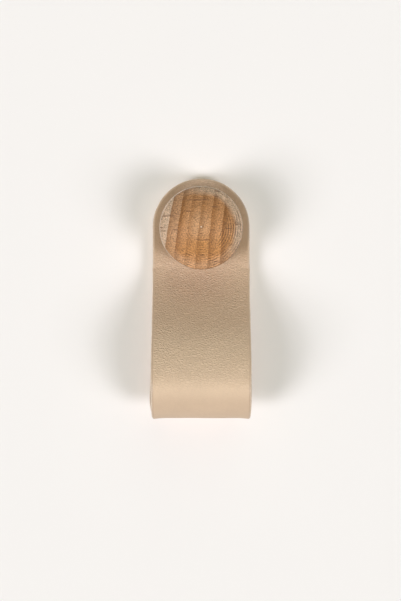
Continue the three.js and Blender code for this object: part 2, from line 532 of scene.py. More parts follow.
class SharedEffects:
    """The node groups that more than one finish uses, each built once."""

    def __init__(self) -> None:
        """Builds the groups."""
        self.uneven_tone = self._uneven_tone()
        self.specks = self._specks()
        self.grazes = self._grazes()

    @staticmethod
    def _uneven_tone() -> bpy.types.NodeTree:
        """Slow and fine unevenness of tone.

        Returns:
            A group that gives a factor around 1.
        """
        shares = {"Slow Scale": "Float", "Fine Scale": "Float", "Slow": "Float", "Fine": "Float"}
        board = GroupBoard("uneven_tone", {"Place": "Vector", **shares}, {"Tone": "Float"})
        given = board.given
        slow = board.minus(board.noise(given["Place"], given["Slow Scale"]), 0.5)
        fine = board.minus(board.noise(given["Place"], given["Fine Scale"], detail=3.0), 0.5)
        tone = board.math("MULTIPLY_ADD", fine, given["Fine"], board.times(slow, given["Slow"]))
        board.feed(board.result["Tone"], board.plus(1.0, tone))
        return board.tree

    @staticmethod
    def _specks() -> bpy.types.NodeTree:
        """Small scattered specks, such as pores.

        Returns:
            A group that gives a mask, 1 on a speck.
        """
        inputs = {"Place": "Vector", "Scale": "Float", "Reach": "Float", "Share": "Float"}
        board = GroupBoard("specks", inputs, {"Mask": "Float"})
        given = board.given
        cells = board.cells(given["Place"], given["Scale"])
        near = board.math("LESS_THAN", cells.outputs["Distance"], given["Reach"])
        chosen = board.math("LESS_THAN", board.parts(cells.outputs["Color"])[0], given["Share"])
        board.feed(board.result["Mask"], board.times(near, chosen))
        return board.tree

    @staticmethod
    def _grazes() -> bpy.types.NodeTree:
        """Fine turning and handling marks on metal.

        Returns:
            A group that gives a height and a change of roughness.
        """
        outputs = {"Height": "Float", "Dullness": "Float"}
        board = GroupBoard("grazes", {"Place": "Vector", "Scale": "Float"}, outputs)
        round_the_axis = board.vector("MULTIPLY", board.given["Place"], (1.0, 9.0, 1.0))
        marks = board.noise(round_the_axis, board.given["Scale"], detail=4.0, rough=0.6)
        board.feed(board.result["Height"], marks)
        board.feed(board.result["Dullness"], board.ease(marks, Step(0.35, 0.75)))
        return board.tree

    def tone(self, board: NodeBoard, place: Socket, uneven: Unevenness) -> Socket:
        """The factor by which a finish's tone is uneven at a point.

        Args:
            board: the finish's nodes.
            place: the point.
            uneven: how the tone varies.

        Returns:
            The factor.
        """
        slow, fine = per_metre(uneven.slow_size), per_metre(uneven.fine_size)
        scales = {"Slow Scale": slow, "Fine Scale": fine}
        values = {"Place": place, **scales, "Slow": uneven.slow, "Fine": uneven.fine}
        return board.put("ShaderNodeGroup", values, node_tree=self.uneven_tone).outputs[0]

    def scatter(self, board: NodeBoard, place: Socket, specks: Specks) -> Socket:
        """The mask of a finish's specks at a point."""
        values = zip(("Place", "Scale", "Reach", "Share"), (place, per_metre(specks.pitch), *specks[1:]))
        return board.put("ShaderNodeGroup", dict(values), node_tree=self.specks).outputs[0]

    def graze(self, board: NodeBoard, place: Socket, size: float) -> tuple[Socket, Socket]:
        """The height and the change of roughness that turning marks of this size give at a point."""
        values = {"Place": place, "Scale": per_metre(size)}
        return tuple(board.put("ShaderNodeGroup", values, node_tree=self.grazes).outputs)


@dataclass(frozen=True)
class GrainLeather:
    """The strap's outside: undyed vegetable-tanned leather with a fine pebbled grain."""

    colour: Colour = (0.625, 0.45, 0.303)
    fold_colour: Colour = (0.64, 0.472, 0.325)  # where the bend stretches it
    taut_and_sheen_colour: Colour = (0.735, 0.545, 0.372)  # on the belly of the fold, lighter for the stretch and as painted sheen
    knob_shadow_colour: Colour = (0.42, 0.285, 0.175)  # painted shade of the knob, beside it
    # painted shade in the creases between the pebbles
    crease_shade_colour: Colour = (0.40, 0.265, 0.16)
    uneven: Unevenness = Unevenness(11 * MM, 1.4 * MM, 0.09, 0.07)
    roughness: Step = Step(0.0, 1.3, 0.55, 0.45)  # over the grain's height
    specular: float = 0.5
    relief: float = 0.105 * MM

    # The grain's domed pebbles, large and small
    pebble: float = 0.54 * MM
    pebble_stretch: float = 0.5  # across the strap, so that the pebbles lie wide
    small_pebbles: float = 2.1  # times finer
    small_share: float = 0.35  # of the height
    dome: Step = Step(0.0, 0.30)  # off a pebble's edge, in shares of the pebble
    small_dome: Step = Step(0.0, 0.35)
    # where shade is painted into the creases
    crease_shade: Step = Step(0.10, 0.0, 0.0, 0.35)
    wander_size: float = 1.2 * MM  # over which the pebbles leave their rows
    wander: float = 0.6 * MM
    pore: float = 0.22 * MM
    pore_share: float = 0.30

    # Where the fold changes the leather, along the strap, with sheen painted on its belly
    smooth_front: Step = Step(2.5 * MM, -3.8 * MM)  # past the fold's front end
    smooth_rear: Step = Step(-5 * MM, 7 * MM)  # past its rear end
    flatness: float = 0.82  # of the grain there
    taut_and_sheen: Step = Step(-5.5 * MM, -0.5 * MM)  # past its front end
    pale: Step = Step(21 * MM, 8 * MM)  # past either end
    lively: Step = Step(22 * MM, 30 * MM)  # past either end, close under the knob
    lively_grain: float = 0.22
    lively_tone: float = 0.05

    # The front leaf's rim at the knob's two sides, with the knob's shadow painted on it
    rim: Step = Step(16.4 * MM, 15.0 * MM)  # off the screw's axis
    rim_beside: Step = Step(3 * MM, 9 * MM)
    rim_low: Step = Step(-11 * MM, -4 * MM)
    bare_front: float = -4.0 * MM  # depth of the front leaf's grain side
    pressed_flatness: float = 0.7

    def build(self, effects: SharedEffects, stretched: Pair) -> bpy.types.Material:
        """Makes the material.

        Args:
            effects: the shared node groups.
            stretched: where along the strap the fold's middle is, and how far it reaches each way.

        Returns:
            The material.
        """
        board = MaterialBoard("grain_leather")
        flat = board.flat_place()
        along = board.parts(flat)[1]
        middle, reach = stretched
        past_fold = board.off(along, middle)
        pale = board.ease(past_fold, self.pale.moved(reach))
        lively = board.ease(past_fold, self.lively.moved(reach))
        taut_and_sheen = board.times(board.ease(along, self.taut_and_sheen.moved(middle + reach)), pale)
        smooth = board.times(
            board.ease(along, self.smooth_front.moved(middle + reach)),
            board.ease(along, self.smooth_rear.moved(middle - reach)),
        )
        # the rim beside the knob, where its shadow is painted and the grain is pressed flatter
        pressed_and_shaded = self._beside_knob(board)
        flattened = board.largest(smooth, board.times(pressed_and_shaded, self.pressed_flatness))
        grained = board.times(
            board.plus(1.0, flattened, -self.flatness), board.plus(1.0, lively, self.lively_grain)
        )
        height, crease_shade = self._grain(board, flat, grained)
        tone = board.plus(effects.tone(board, flat, self.uneven), lively, self.lively_tone)
        colour = board.blend(
            self.colour,
            (pale, self.fold_colour),
            # the belly's stretched colour, with painted sheen
            (taut_and_sheen, self.taut_and_sheen_colour),
            # painted shade of the knob beside it
            (pressed_and_shaded, self.knob_shadow_colour),
            # painted shade in the creases
            (crease_shade, self.crease_shade_colour),
        )
        return board.dress({
            "Base Color": board.shade(colour, tone),
            "Roughness": board.ease(height, self.roughness),
            "Specular IOR Level": self.specular,
            "Normal": board.bump(height, self.relief),
        })

    def _grain(self, board: NodeBoard, flat: Socket, grained: Socket) -> tuple[Socket, Socket]:
        """The pebbles.

        Args:
            board: the material's nodes.
            flat: the place on the flat strap.
            grained: how strong the grain is.

        Returns:
            Their height, and the painted shade in the creases between them as a mask.
        """
        wander = board.put("ShaderNodeTexNoise", {"Vector": flat, "Scale": 1 / self.wander_size})
        push = board.vector("SUBTRACT", wander.outputs["Color"], (0.5, 0.5, 0.5))
        push = board.vector("MULTIPLY", push, (self.wander, self.wander, 0.0))
        place = board.vector("ADD", flat, push)
        place = board.vector("MULTIPLY", place, (self.pebble_stretch, 1.0, 1.0))
        large, small = (
            board.cells(place, size, "DISTANCE_TO_EDGE").outputs["Distance"]
            for size in (self.pebble, self.pebble / self.small_pebbles)
        )
        small_domes = board.ease(small, self.small_dome)
        domes = board.plus(board.ease(large, self.dome), small_domes, self.small_share)
        height = board.plus(board.times(domes, grained), board.noise(flat, self.pore), self.pore_share)
        return height, board.times(board.ease(large, self.crease_shade), grained)

    def _beside_knob(self, board: MaterialBoard) -> Socket:
        """Where the knob's shadow is painted on the front leaf's rim, which the knob also presses
        flatter.

        Args:
            board: the material's nodes.

        Returns:
            A mask.
        """
        spot = board.spot
        beside = board.ease(board.math("ABSOLUTE", spot.x), self.rim_beside)
        in_front = board.math("LESS_THAN", spot.y, self.bare_front)
        rim = board.ease(spot.off_axis, self.rim)
        return board.times(rim, beside, board.ease(spot.z, self.rim_low), in_front)


@dataclass(frozen=True)
class FleshLeather:
    """The strap's inside: the matt, fibrous flesh side."""

    colour: Colour = (0.74, 0.59, 0.45)
    nap_colour: Colour = (0.60, 0.45, 0.32)
    uneven: Unevenness = Unevenness(8 * MM, 0.9 * MM, 0.12, 0.10)
    nap: Lumps = Lumps(0.45 * MM, 5.0, 0.72)
    nap_lay: Triple = (1.0, 0.45, 1.0)  # so that the fibres lie along the strap
    nap_shade: Step = Step(0.62, 0.38)
    tufts: Lumps = Lumps(1.8 * MM, 3.0, 0.6)
    tuft_share: float = 0.6  # of the height
    relief: float = 0.16 * MM
    roughness: float = 0.95
    specular: float = 0.2
    sheen: float = 0.25
    sheen_roughness: float = 0.6

    def build(self, effects: SharedEffects) -> bpy.types.Material:
        """Makes the material.

        Args:
            effects: the shared node groups.

        Returns:
            The material.
        """
        board = MaterialBoard("flesh_leather")
        flat = board.flat_place()
        nap = board.noise(board.vector("MULTIPLY", flat, self.nap_lay), *self.nap)
        height = board.plus(nap, board.noise(flat, *self.tufts), self.tuft_share)
        colour = board.blend(self.colour, (board.ease(nap, self.nap_shade), self.nap_colour))
        return board.dress({
            "Base Color": board.shade(colour, effects.tone(board, flat, self.uneven)),
            "Roughness": self.roughness,
            "Specular IOR Level": self.specular,
            "Sheen Weight": self.sheen,
            "Sheen Roughness": self.sheen_roughness,
            "Normal": board.bump(height, self.relief),
        })


@dataclass(frozen=True)
class BurnishedEdge:
    """The strap's cut edge, rubbed smooth, with a few dark loose fibres."""

    colour: Colour = (0.80, 0.65, 0.50)
    core_colour: Colour = (0.66, 0.50, 0.36)
    worn_colour: Colour = (0.56, 0.40, 0.27)  # where the edge's round meets the faces
    worn: Step = Step(0.15 * MM, 0.32 * MM)  # in from the edge
    uneven: Unevenness = Unevenness(6 * MM, 0.5 * MM, 0.12, 0.14)
    fibres: Lumps = Lumps(0.30 * MM, 4.0, 0.65)
    fibre_shade: Step = Step(0.60, 0.40)
    roughness: Step = Step(0.3, 0.7, 0.44, 0.30)  # over the fibres
    specular: float = 0.5
    relief: float = 0.03 * MM
    specks: Specks = Specks(2.6 * MM, 0.13, 0.16)
    speck_colour: Colour = (0.10, 0.07, 0.05)

    # Painted shade of the knob: darker on the front leaf's edge, right of the knob
    shadow_right: Step = Step(9 * MM, 13 * MM)
    shadow_high: Step = Step(-5 * MM, -1 * MM)
    shadow_front: float = -4 * MM
    shadow_darkening: float = -0.26

    def build(self, effects: SharedEffects, length: float, width: float) -> bpy.types.Material:
        """Makes the material.

        Args:
            effects: the shared node groups.
            length: of the flat strap.
            width: of the flat strap.

        Returns:
            The material.
        """
        board = MaterialBoard("burnished_edge")
        place = board.object_place()
        x, y, z = board.parts(place)
        across, along, _ = board.parts(board.flat_place())
        past_round = board.largest(board.minus(board.off(along, length / 2), (length - width) / 2), 0.0)
        inset = board.minus(width / 2, board.reach(across, past_round))
        fibres = board.noise(place, *self.fibres)
        colour = board.blend(
            self.colour,
            (board.ease(fibres, self.fibre_shade), self.core_colour),
            (board.ease(inset, self.worn), self.worn_colour),
        )
        # painted shade of the knob on the edge right of it
        right, high = board.ease(x, self.shadow_right), board.ease(z, self.shadow_high)
        knob_shadow_edge = board.times(right, high, board.math("LESS_THAN", y, self.shadow_front))
        colour = board.shade(colour, board.plus(1.0, knob_shadow_edge, self.shadow_darkening))
        colour = board.shade(colour, effects.tone(board, place, self.uneven))
        specks = effects.scatter(board, place, self.specks)
        return board.dress({
            "Base Color": board.blend(colour, (specks, self.speck_colour)),
            "Roughness": board.ease(fibres, self.roughness),
            "Specular IOR Level": self.specular,
            "Normal": board.bump(fibres, self.relief),
        })


@dataclass(frozen=True)
class TurnedBeech:
    """The knob's wood, cut across the grain, so that its face shows end grain.

    The growth rings run nearly upright and lean a little to the right at their tops. Each has a dark
    line at its left that fades to the right. Short rays cross them.
    """

    light: Colour = (0.53, 0.26, 0.106)
    dark: Colour = (0.25, 0.098, 0.022)
    honey: Colour = (0.45, 0.195, 0.045)  # low on the face
    honey_top: Step = Step(-1 * MM, -5 * MM, 0.0, 0.6)
    honey_bottom: Step = Step(-9.5 * MM, -7 * MM)
    soft_colour: Colour = (0.62, 0.37, 0.20)  # of a paler spot beside the middle
    soft_spot: Triple = (-0.6 * MM, 0.0, 0.8 * MM)
    soft_shape: Triple = (1.0, 0.0, 0.8)
    soft_reach: Step = Step(5.0 * MM, 1.0 * MM, 0.0, 0.5)
    # painted shade: darker towards the top of the face
    top_painted_shade: Step = Step(12 * MM, -5 * MM, 0.80, 1.0)
    right: Step = Step(5 * MM, 9.5 * MM)  # the part of the face that is browner
    right_shade: float = -0.14
    uneven: Unevenness = Unevenness(6 * MM, 0.36 * MM, 0.22, 2.1)
    roughness: Step = Step(0.0, 1.0, 0.52, 0.66)  # over the pale mask of sanding, sapwood and painted sheen
    specular: float = 0.3
    relief: float = 0.05 * MM

    # The growth rings
    lean: float = 0.1225  # at the knob's middle
    lean_growth: float = 4.7  # of the rings' spacing with height, per metre
    bow: float = 2.9  # per metre
    wobble: Lumps = Lumps(5 * MM)
    wobble_reach: float = 0.6 * MM
    ring_phase: float = 3.21
    rings_per_metre: float = 302.0
    ring_widening: float = 2500.0  # per square metre
    late_fade: Step = Step(0.90, 0.0)  # of the dark line, over the ring
    late_power: float = 1.5
    late_least: float = 0.33  # the weakest dark line
    late_spread: float = 0.55  # how much darker the others get
    late_turn: Pair = (0.25, 0.70)  # from ring to ring, and at the first
    fresh: Step = Step(0.88, 0.97, 0.0, 0.22)  # the light line before the next ring

    # What sanding and sapwood leave pale, with painted sheen on the rounded rim: right and top of the
    # rim, and the far left
    sanded_and_sheen: Colour = (0.66, 0.475, 0.33)
    sanded_and_sheen_rim: Step = Step(9.3 * MM, 11.3 * MM)  # off the axis
    sanded_and_sheen_lumps: Lumps = Lumps(3 * MM)
    sanded_and_sheen_wander: float = 1.4 * MM
    sanded_and_sheen_way: Pair = (0.84, 0.54)  # to the right and up
    sanded_and_sheen_side: Step = Step(1 * MM, 8 * MM, 0.25, 1.0)
    sanded_and_sheen_share: float = 0.9
    first_ring: Step = Step(1.03, 0.97, 0.0, 0.22)
    before_rings: Step = Step(0.03, -0.03)
    pale_late: float = 0.30  # of the dark lines, where it is pale
    # painted shade: the pale wood darker towards the top
    pale_top_painted_shade: Step = Step(12 * MM, 8 * MM, 0.80, 1.0)
    pale_low: Step = Step(9 * MM, 3 * MM)

    # The drum's side, behind the shoulder
    side_from: float = -18.95 * MM
    side_blend: float = 0.8 * MM
    side_pale: float = 0.4
    side_calm: float = 0.55  # how much of the marks it loses

    # Rays and pores
    ray_lay: Pair = (0.16, 0.10)  # so that the rays lie across and deep
    ray_colour: Colour = (0.17, 0.08, 0.04)
    ray_strength: float = 0.75
    fine_rays: Lumps = Lumps(0.34 * MM, 2.0, 0.6)
    fine_strength: float = 0.85
    dashes: Specks = Specks(0.62 * MM, 0.25, 0.06)
    sanded_and_sheen_dashes: float = 0.30  # more of them where it is pale
    long_drift: float = 0.5 * MM
    long_width: Step = Step(0.24 * MM, 0.06 * MM, 0.0, 0.85)
    long_fade: float = 0.7  # of a long ray, where it starts to fade
    long_rays: tuple[Ray, ...] = (
        Ray(-1.6 * MM, 5.2 * MM, 8.2 * MM),
        Ray(-9.4 * MM, 2.6 * MM, 3.4 * MM),
        Ray(0.6 * MM, 2.1 * MM, -3.8 * MM),
        Ray(5.1 * MM, 1.5 * MM, -10.2 * MM),
        Ray(10.9 * MM, 0.9 * MM, 0.9 * MM),
    )
    pores: Specks = Specks(0.30 * MM, 0.28, 0.5)
    pore_strength: float = -0.30
    pore_depth: float = 0.7

    # Turning marks, strongest low on the right, the arris's painted highlight, and the lathe's centre
    # mark
    turning_pitch: float = 0.70 * MM
    turning_side: Step = Step(1 * MM, 9 * MM, 0.25, 1.0)
    turning_lumps: Lumps = Lumps(2.6 * MM)
    turning_patches: Step = Step(0.40, 0.62)
    turning_strength: float = 0.42
    turning_height: float = 0.8
    # painted highlight along the arris
    arris_highlight_colour: Colour = (0.82, 0.66, 0.50)
    rim: Step = Step(12.27 * MM, 12.42 * MM)  # off the axis
    rim_way: Pair = (-0.6, 0.8)  # to the left and up
    rim_side: Step = Step(-9 * MM, -5 * MM, 0.0, 0.85)
    centre_dot: Step = Step(0.33 * MM, 0.165 * MM, 0.0, 0.7)

    def build(self, effects: SharedEffects) -> bpy.types.Material:
        """Makes the material.

        Args:
            effects: the shared node groups.

        Returns:
            The material.
        """
        board = MaterialBoard("turned_beech")
        spot = board.spot
        count = self._ring_count(board)
        side = board.ease(spot.y, Step(self.side_from - self.side_blend, self.side_from))
        face = board.minus(1.0, side)
        sanded_and_sheen = board.largest(self._sanded_and_sheen(board, count), board.times(side, self.side_pale))

        across_rings = board.plus(spot.z, spot.x, self.lean)
        wide, deep = self.ray_lay
        lay = board.join(board.times(spot.x, wide), board.times(spot.y, deep), across_rings)
        fine_rays = board.minus(board.noise(lay, *self.fine_rays), 0.5)
        share = board.plus(self.dashes.share, sanded_and_sheen, self.sanded_and_sheen_dashes)
        dashes = effects.scatter(board, lay, self.dashes._replace(share=share))
        dashes = board.largest(dashes, *self._long_rays(board, fine_rays))
        pores = effects.scatter(board, spot.place, self.pores)
        turning = self._turning(board)

        tone = board.plus(effects.tone(board, spot.place, self.uneven), fine_rays, self.fine_strength)
        tone = board.plus(tone, turning, self.turning_strength)
        tone = board.plus(tone, pores, self.pore_strength)
        calm = board.times(side, self.side_calm)
        tone = board.plus(board.times(tone, board.minus(1.0, calm)), calm)

        wood, pale = self._colours(board, self._late_wood(board, count), face)
        # sanding, sapwood and painted sheen on the rim lay the pale colour on
        colour = board.blend(wood, (board.times(sanded_and_sheen, self.sanded_and_sheen_share), pale))
        colour = board.blend(
            board.shade(colour, tone),
            (board.times(dashes, self.ray_strength), self.ray_colour),
            # painted highlight along the arris, and the centre mark
            (board.times(self._arris_highlight_and_centre_mark(board), face), self.arris_highlight_colour),
        )
        height = board.plus(board.plus(fine_rays, turning, self.turning_height), pores, -self.pore_depth)
        return board.dress({
            "Base Color": colour,
            "Roughness": board.ease(sanded_and_sheen, self.roughness),
            "Specular IOR Level": self.specular,
            "Normal": board.bump(board.minus(height, dashes), self.relief),
        })

    def _ring_count(self, board: MaterialBoard) -> Socket:
        """Which growth ring a point lies in.

        Args:
            board: the material's nodes.

        Returns:
            The ring's number and how far into the ring it is, whole at a ring's dark edge.
        """
        spot = board.spot
        wobble = board.minus(board.noise(spot.place, *self.wobble), 0.5)
        across = board.plus(spot.x, wobble, self.wobble_reach)
        across = board.times(across, board.plus(1.0, spot.z, self.lean_growth))
        across = board.plus(across, spot.z, -self.lean)
        across = board.plus(across, board.times(spot.z, spot.z), -self.bow)
        count = board.plus(self.ring_phase, across, self.rings_per_metre)
        return board.plus(count, board.times(across, across), -self.ring_widening)

    def _late_wood(self, board: NodeBoard, count: Socket) -> Socket:
        """How dark each ring is: sharp at its left edge, with a light line before it, and fading.

        Args:
            board: the material's nodes.
            count: the ring's number and how far into it.

        Returns:
            The darkness.
        """
        share = board.math("FRACT", count)
        late = board.math("POWER", board.ease(share, self.late_fade), self.late_power)
        turn, first = self.late_turn
        uneven = board.math("FRACT", board.plus(first, board.math("FLOOR", count), turn))
        late = board.times(late, board.plus(self.late_least, uneven, self.late_spread))
        return board.minus(late, board.ease(share, self.fresh))

    def _sanded_and_sheen(self, board: MaterialBoard, count: Socket) -> Socket:
        """Where the face is pale: sapwood at the far left, and sanding with painted sheen on the rim.

        Args:
            board: the material's nodes.
            count: the ring's number and how far into it.

        Returns:
            A mask.
        """
        spot = board.spot
        uneven = board.minus(board.noise(spot.place, *self.sanded_and_sheen_lumps), 0.5)
        edge = board.ease(board.plus(spot.off_axis, uneven, self.sanded_and_sheen_wander), self.sanded_and_sheen_rim)
        right, up = self.sanded_and_sheen_way
        facing = board.plus(board.times(spot.z, up), spot.x, right)
        edge = board.times(edge, board.ease(facing, self.sanded_and_sheen_side))
        left = (board.ease(count, step) for step in (self.first_ring, self.before_rings))
        return board.largest(edge, *left)

    def _long_rays(self, board: MaterialBoard, drift: Socket) -> list[Socket]:
        """The few long rays, which the fine ones make uneven.

        Args:
            board: the material's nodes.
            drift: the fine rays, around 0.

        Returns:
            A mask for each.
        """
        height = board.plus(board.spot.z, drift, self.long_drift)
        on_face = board.math("LESS_THAN", board.spot.y, self.side_from)
        masks = []
        for ray in self.long_rays:
            ends = Step(ray.reach, self.long_fade * ray.reach)
            within = board.ease(board.off(board.spot.x, ray.across), ends)
            near = board.ease(board.off(height, ray.height), self.long_width)
            masks.append(board.times(within, on_face, near))
        return masks

    def _turning(self, board: MaterialBoard) -> Socket:
        """The marks that the turning tool left in rings round the axis.

        Args:
            board: the material's nodes.

        Returns:
            Their height, around 0.
        """
        spot = board.spot
        rings = board.math("SINE", board.times(spot.off_axis, 2 * math.pi / self.turning_pitch))
        patches = board.ease(board.noise(spot.place, *self.turning_lumps), self.turning_patches)
        facing = board.ease(board.minus(spot.x, spot.z), self.turning_side)
        return board.times(rings, board.times(patches, facing))

    def _colours(self, board: MaterialBoard, late: Socket, face: Socket) -> tuple[Socket, Socket]:
        """The wood's colours, with painted shade that darkens them towards the top.

        Args:
            board: the material's nodes.
            late: how dark its ring is there.
            face: 1 on the face and 0 on the drum's side.

        Returns:
            The oiled wood's colour, and the pale colour of sanded wood with painted sheen.
        """
        spot = board.spot
        low = board.times(board.ease(spot.z, self.honey_top), board.ease(spot.z, self.honey_bottom), face)
        beside = board.vector("SUBTRACT", spot.place, self.soft_spot)
        beside = board.vector("MULTIPLY", beside, self.soft_shape)
        beside = board.put("ShaderNodeVectorMath", {0: beside}, operation="LENGTH").outputs["Value"]
        soft = board.ease(beside, self.soft_reach)
        wood = board.blend(self.light, (low, self.honey), (soft, self.soft_colour), (late, self.dark))
        # painted shade, darker towards the top
        wood = board.shade(wood, board.ease(spot.z, self.top_painted_shade))
        right = board.ease(spot.x, self.right)
        wood = board.shade(wood, board.plus(1.0, right, self.right_shade))
        pale = board.blend(self.sanded_and_sheen, (board.times(late, self.pale_late), self.dark))
        # painted shade, darker towards the top
        pale = board.shade(pale, board.ease(spot.z, self.pale_top_painted_shade))
        browned = board.times(right, board.ease(spot.z, self.pale_low))
        return wood, board.shade(pale, board.plus(1.0, browned, self.right_shade))

    def _arris_highlight_and_centre_mark(self, board: MaterialBoard) -> Socket:
        """A painted highlight along the arris, which fades out low on the right, and the lathe's centre
        mark.

        Args:
            board: the material's nodes.

        Returns:
            A mask.
        """
        spot = board.spot
        left, up = self.rim_way
        facing = board.plus(board.times(spot.z, up), spot.x, left)
        rim = board.times(board.ease(spot.off_axis, self.rim), board.ease(facing, self.rim_side))
        return board.largest(rim, board.ease(spot.off_axis, self.centre_dot))


@dataclass(frozen=True)
class PlainMetal:
    """A turned or plated metal: its colour and how dull it is."""

    name: str
    colour: Colour
    roughness: float
    mark_size: float = 1.2 * MM
    mark_dullness: float = 0.14
    relief: float = 0.006 * MM
    uneven: Unevenness = Unevenness(4 * MM, 0.6 * MM, 0.10, 0.08)

    def build(self, effects: SharedEffects) -> bpy.types.Material:
        """Makes the material.

        Args:
            effects: the shared node groups.

        Returns:
            The material.
        """
        board = MaterialBoard(self.name)
        place = board.object_place()
        marks, dullness = effects.graze(board, place, self.mark_size)
        return board.dress({
            "Base Color": board.shade(self.colour, effects.tone(board, place, self.uneven)),
            "Roughness": board.plus(self.roughness, dullness, self.mark_dullness),
            "Metallic": 1.0,
            "Normal": board.bump(marks, self.relief),
        })


@dataclass(frozen=True)
class FoldLine:
    """The line that the middle of the leather follows, as depth in front of the door and height.

    It runs down the door, eases off it, goes round the fold and up through an S-bend to the knob.
    """

    thickness: float = 2.65 * MM
    leaf_gap: float = 0.3 * MM
    screw_to_end: float = 16.0 * MM
    loop_drop: float = 57.5 * MM
    radius: float = 9.7 * MM
    stand_off: float = 13.2 * MM
    lift_off_rise: float = 27.0 * MM
    clamp_edge: float = -11.2 * MM
    clamp_bend_radius: float = 7.5 * MM
    rear_ease_share: float = 0.19
    straight_handle: float = 4.0 * MM
    steps: int = 64  # of each of its curves

    @staticmethod
    def _handle(reach: float, radius: float) -> float:
        """The handle length that gives a Bezier's end this radius, for a bend with this reach."""
        return math.sqrt(2 / 3 * reach * radius)

    def knots(self) -> list[tuple[Vector, Vector, Vector]]:
        """The Bezier points of the line.

        Returns:
            Each as its left handle, itself and its right handle.
        """
        rear = self.thickness / 2
        front = self.thickness * 1.5 + self.leaf_gap
        top = self.screw_to_end
        bottom = -self.loop_drop + self.thickness / 2
        lift_off = bottom + self.lift_off_rise
        eased = lift_off - self.rear_ease_share * self.lift_off_rise
        belly, belly_height = self.stand_off + self.radius, bottom + self.radius
        quarter = ARC_HANDLE * self.radius
        reach = belly - front
        over_belly = belly_height + self._handle(reach, self.radius)
        under_clamp = self.clamp_edge - self._handle(reach, self.clamp_bend_radius)
        third = self.straight_handle
        places = (
            ((rear, top + third), (rear, top), (rear, top - third)),
            ((rear, lift_off + third), (rear, lift_off), (rear, eased)),
            ((rear, bottom), (self.stand_off, bottom), (self.stand_off + quarter, bottom)),
            ((belly, belly_height - quarter), (belly, belly_height), (belly, over_belly)),
            ((front, under_clamp), (front, self.clamp_edge), (front, self.clamp_edge + third)),
            ((front, top - third), (front, top), (front, top + third)),
        )
        return [tuple(Vector((*place, 0.0)) for place in knot) for knot in places]

    def points(self) -> list[Vector]:
        """The line as close points.

        Returns:
            The points, from the rear leaf's end to the front leaf's.
        """
        knots = self.knots()
        line = [knots[0][1]]
        for (_, start, leave), (arrive, end, _) in zip(knots, knots[1:]):
            line += interpolate_bezier(start, leave, arrive, end, self.steps + 1)[1:]
        return line

    def lengths(self) -> list[float]:
        """How far along the line each of the close points lies.

        Returns:
            The lengths, from 0 to the flat strap's own.
        """
        line = self.points()
        total = [0.0]
        for start, end in zip(line, line[1:]):
            total.append(total[-1] + (end - start).length)
        return total

    def knot_lengths(self) -> list[float]:
        """How far along the line each Bezier point lies."""
        return self.lengths()[:: self.steps]

    def bends(self) -> list[float]:
        """The curvature at each close point.

        Returns:
            It per metre, above 0 in the fold.
        """
        line = self.points()
        bends = [0.0]
        for before, here, after in zip(line, line[1:], line[2:]):
            into, out = here - before, after - here
            turn = into.normalized().cross(out.normalized()).z
            bends.append(2 * turn / (into.length + out.length))
        return [*bends, 0.0]

    def curve(self) -> bpy.types.Object:
        """The line, for the bend.

        Returns:
            A flat curve object.
        """
        data = bpy.data.curves.new("fold_line", "CURVE")
        data.dimensions = "2D"
        data.resolution_u = self.steps
        spline = data.splines.new("BEZIER")
        knots = self.knots()
        spline.bezier_points.add(len(knots) - 1)
        for point, (left, middle, right) in zip(spline.bezier_points, knots):
            point.handle_left_type = point.handle_right_type = "FREE"
            point.handle_left, point.co, point.handle_right = left, middle, right
        line = bpy.data.objects.new("fold_line", data)
        bpy.context.collection.objects.link(line)
        return line


def between(places: Sequence[float], values: Sequence[float], place: float) -> float:
    """The value at a place, on straight lines between known places.

    Args:
        places: where the values are known, rising.
        values: the values there.
        place: where the value is wanted.

    Returns:
        The value there.
    """
    for i in range(1, len(places)):
        if place <= places[i]:
            share = (place - places[i - 1]) / (places[i] - places[i - 1])
            return values[i - 1] + max(0.0, share) * (values[i] - values[i - 1])
    return values[-1]


def smoothstep(value: float) -> float:
    """A smooth step from 0 to 1 of a value that is first kept in that range."""
    held = min(1.0, max(0.0, value))
    return held * held * (3 - 2 * held)


